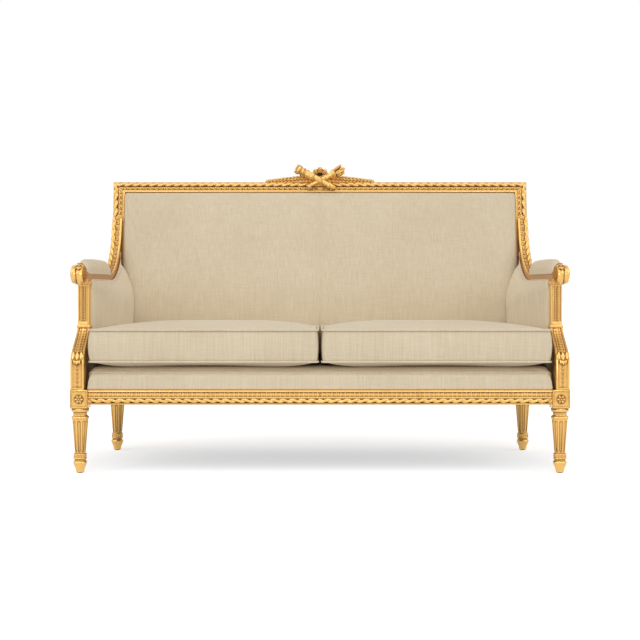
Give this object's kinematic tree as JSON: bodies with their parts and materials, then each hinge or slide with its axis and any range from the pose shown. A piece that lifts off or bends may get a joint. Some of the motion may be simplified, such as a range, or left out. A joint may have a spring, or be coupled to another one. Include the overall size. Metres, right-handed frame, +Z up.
{
  "type": "settee",
  "caption": "Neoclassical settee: carved gilt show-wood frame on fluted tapered legs, padded back and arms, loose box seat cushions, carved crest with crossed emblems.",
  "frame": {"origin": "on the floor, under the centre of the settee's bounding box", "axes": "+Z up, +X along the seat to the right as seen from the front, the front faces -Y"},
  "size_m": [1.6502, 0.7514, 1.0739],
  "materials": {
    "gilt_wood": "satin",
    "bare_beech": "matte",
    "linen": "matte",
    "stuffing": "matte",
    "jute_webbing": "matte",
    "black_cloth": "matte",
    "screw_steel": "satin",
    "glide_plastic": "matte"
  },
  "bodies": {
    "frame": {"front_leg_left": "gilt_wood", "front_leg_right": "gilt_wood", "back_post_left": "gilt_wood", "back_post_right": "gilt_wood", "foot_glides": "glide_plastic", "front_seat_rail": "gilt_wood", "rear_seat_rail": "gilt_wood", "side_seat_rail_left": "gilt_wood", "side_seat_rail_right": "gilt_wood", "centre_stretcher": "bare_beech", "corner_blocks": "bare_beech", "corner_screws": "screw_steel", "crest_rail": "gilt_wood", "lower_back_rail": "bare_beech", "arm_support_left": "gilt_wood", "arm_support_right": "gilt_wood", "arm_rail_left": "gilt_wood", "arm_rail_right": "gilt_wood", "arm_scroll_left": "gilt_wood", "arm_scroll_right": "gilt_wood", "crest_backing": "gilt_wood", "crest_quiver": "gilt_wood", "crest_torch": "gilt_wood", "crest_wreath": "gilt_wood", "laurel_spray_left": "gilt_wood", "laurel_spray_right": "gilt_wood", "seat_webbing": "jute_webbing", "seat_hessian": "jute_webbing", "seat_deck_stuffing": "stuffing", "seat_deck_cover": "linen", "dust_cover": "black_cloth", "back_webbing": "jute_webbing", "back_hessian": "jute_webbing", "back_stuffing": "stuffing", "back_cover": "linen", "outside_back_cover": "linen", "arm_board_left": "bare_beech", "arm_board_right": "bare_beech", "inner_arm_stuffing_left": "stuffing", "inner_arm_stuffing_right": "stuffing", "inner_arm_cover_left": "linen", "inner_arm_cover_right": "linen", "outside_arm_cover_left": "linen", "outside_arm_cover_right": "linen", "arm_pad_stuffing_left": "stuffing", "arm_pad_stuffing_right": "stuffing", "arm_pad_cover_left": "linen", "arm_pad_cover_right": "linen"},
    "seat_cushion_left": {"seat_cushion_core_left": "stuffing", "seat_cushion_cover_left": "linen", "seat_cushion_piping_left": "linen"},
    "seat_cushion_right": {"seat_cushion_core_right": "stuffing", "seat_cushion_cover_right": "linen", "seat_cushion_piping_right": "linen"}
  },
  "joints": [
    {"name": "cushion_left_lift", "type": "slide", "parent": "frame", "child": "seat_cushion_left", "axis": [0, 0, 1], "range_m": [0, 0.4]},
    {"name": "cushion_right_lift", "type": "slide", "parent": "frame", "child": "seat_cushion_right", "axis": [0, 0, 1], "range_m": [0, 0.4]}
  ]
}
